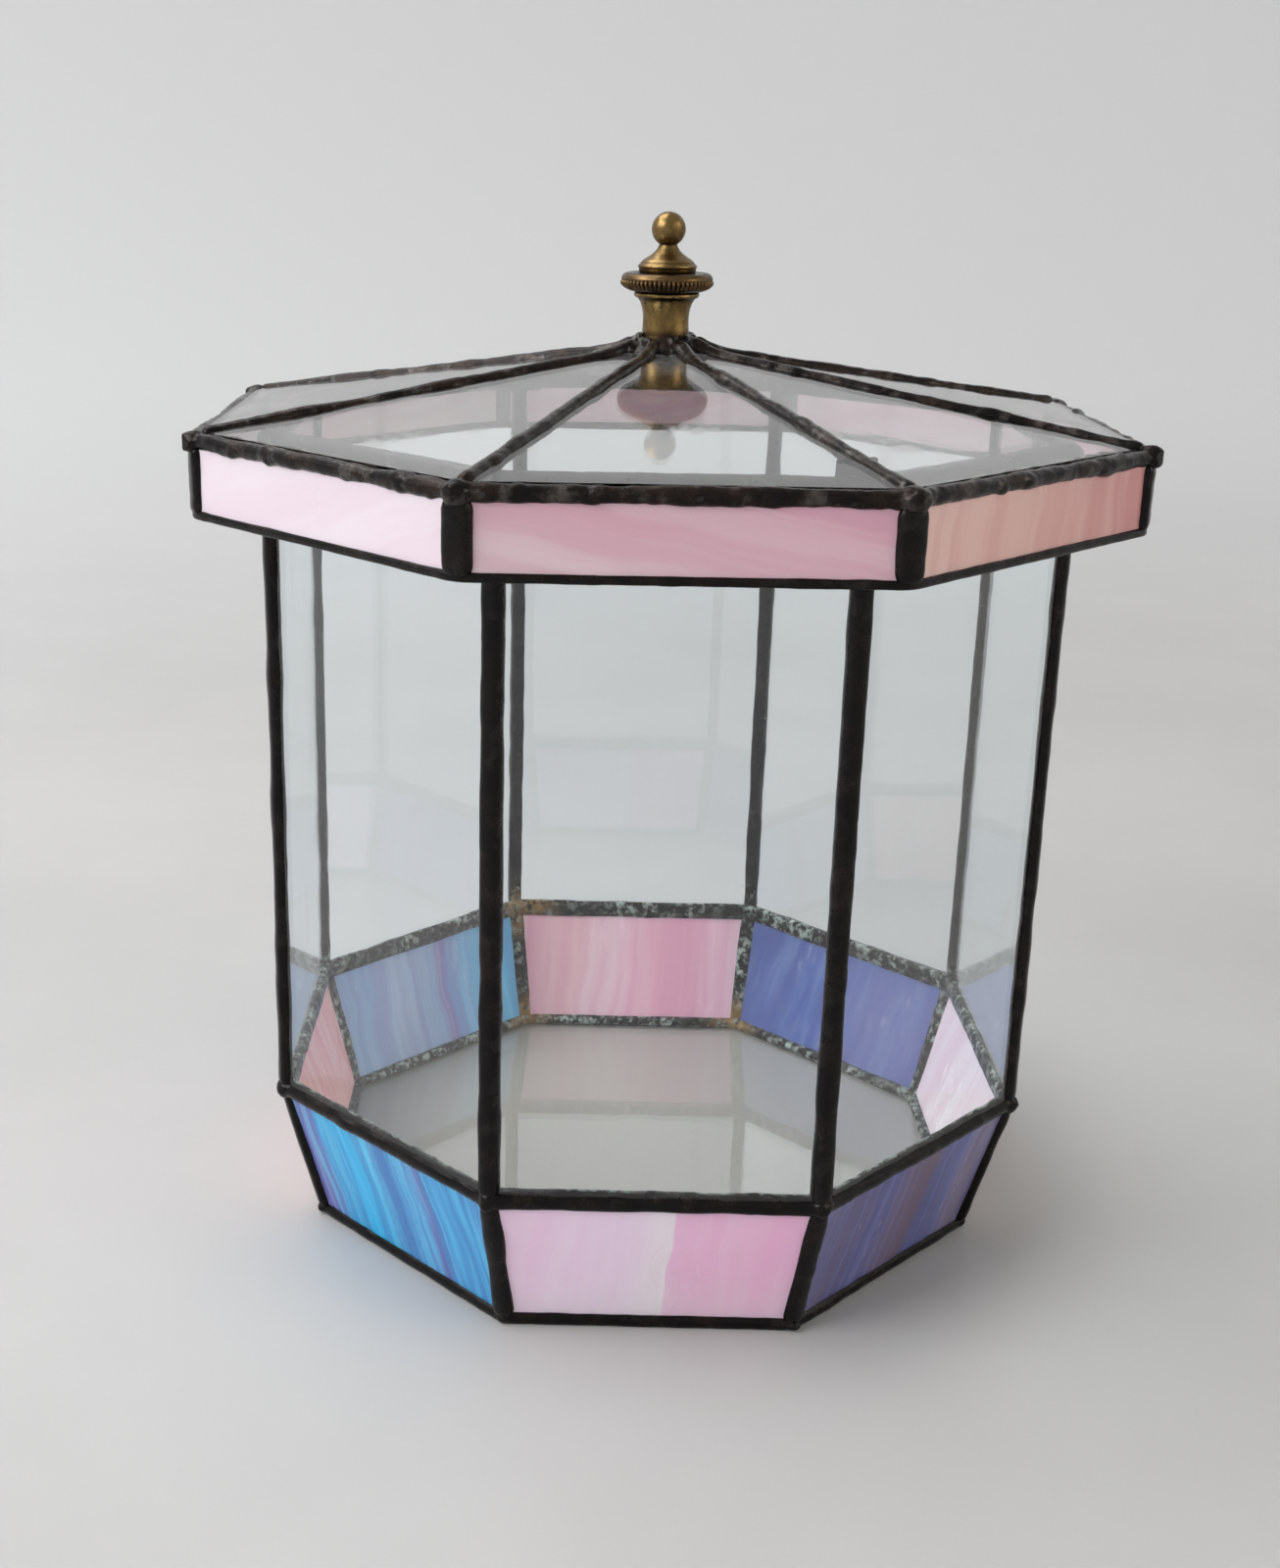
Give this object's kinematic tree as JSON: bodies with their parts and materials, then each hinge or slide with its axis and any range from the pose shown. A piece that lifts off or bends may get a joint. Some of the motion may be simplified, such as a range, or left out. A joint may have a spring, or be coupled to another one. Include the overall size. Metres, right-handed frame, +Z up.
{
  "type": "stained glass display case",
  "caption": "Octagonal copper-foil glass case with clear walls, flared opalescent skirt and a lift-off roof lid with a brass finial.",
  "frame": {"origin": "on the table under the centre of the case", "axes": "+Z up through the finial, -Y out of the front side, +X to the right seen from the front"},
  "size_m": [0.2668, 0.2668, 0.3062],
  "materials": {
    "clear_glass": "polished",
    "pink_glass": "glossy opalescent",
    "blue_glass": "glossy opalescent",
    "violet_glass": "glossy opalescent",
    "dark_solder": "satin black patina",
    "aged_brass": "aged satin"
  },
  "bodies": {
    "case": {"floor_pane": "clear_glass", "skirt_pane_front": "pink_glass", "skirt_pane_front_right": "violet_glass", "skirt_pane_right": "pink_glass", "skirt_pane_back_right": "violet_glass", "skirt_pane_back": "pink_glass", "skirt_pane_back_left": "blue_glass", "skirt_pane_left": "pink_glass", "skirt_pane_front_left": "blue_glass", "wall_pane_front": "clear_glass", "wall_pane_front_right": "clear_glass", "wall_pane_right": "clear_glass", "wall_pane_back_right": "clear_glass", "wall_pane_back": "clear_glass", "wall_pane_back_left": "clear_glass", "wall_pane_left": "clear_glass", "wall_pane_front_left": "clear_glass", "base_seam": "dark_solder", "skirt_seams": "dark_solder", "sill_seam": "dark_solder", "corner_posts": "dark_solder", "rim_seam": "dark_solder"},
    "lid": {"roof_pane_front": "clear_glass", "roof_pane_front_right": "clear_glass", "roof_pane_right": "clear_glass", "roof_pane_back_right": "clear_glass", "roof_pane_back": "clear_glass", "roof_pane_back_left": "clear_glass", "roof_pane_left": "clear_glass", "roof_pane_front_left": "clear_glass", "fascia_pane_front": "pink_glass", "fascia_pane_front_right": "pink_glass", "fascia_pane_right": "pink_glass", "fascia_pane_back_right": "pink_glass", "fascia_pane_back": "pink_glass", "fascia_pane_back_left": "pink_glass", "fascia_pane_left": "pink_glass", "fascia_pane_front_left": "pink_glass", "ridge_seams": "dark_solder", "eave_seam": "dark_solder", "fascia_seams": "dark_solder", "hem_seam": "dark_solder", "solder_collar": "dark_solder", "locating_tabs": "dark_solder", "finial_neck": "aged_brass", "finial_collar": "aged_brass", "finial_knob": "aged_brass", "finial_stud": "aged_brass"}
  },
  "joints": [
    {"name": "lid_lift", "type": "slide", "parent": "case", "child": "lid", "axis": [0, 0, 1], "range_m": [0, 0.12]}
  ]
}
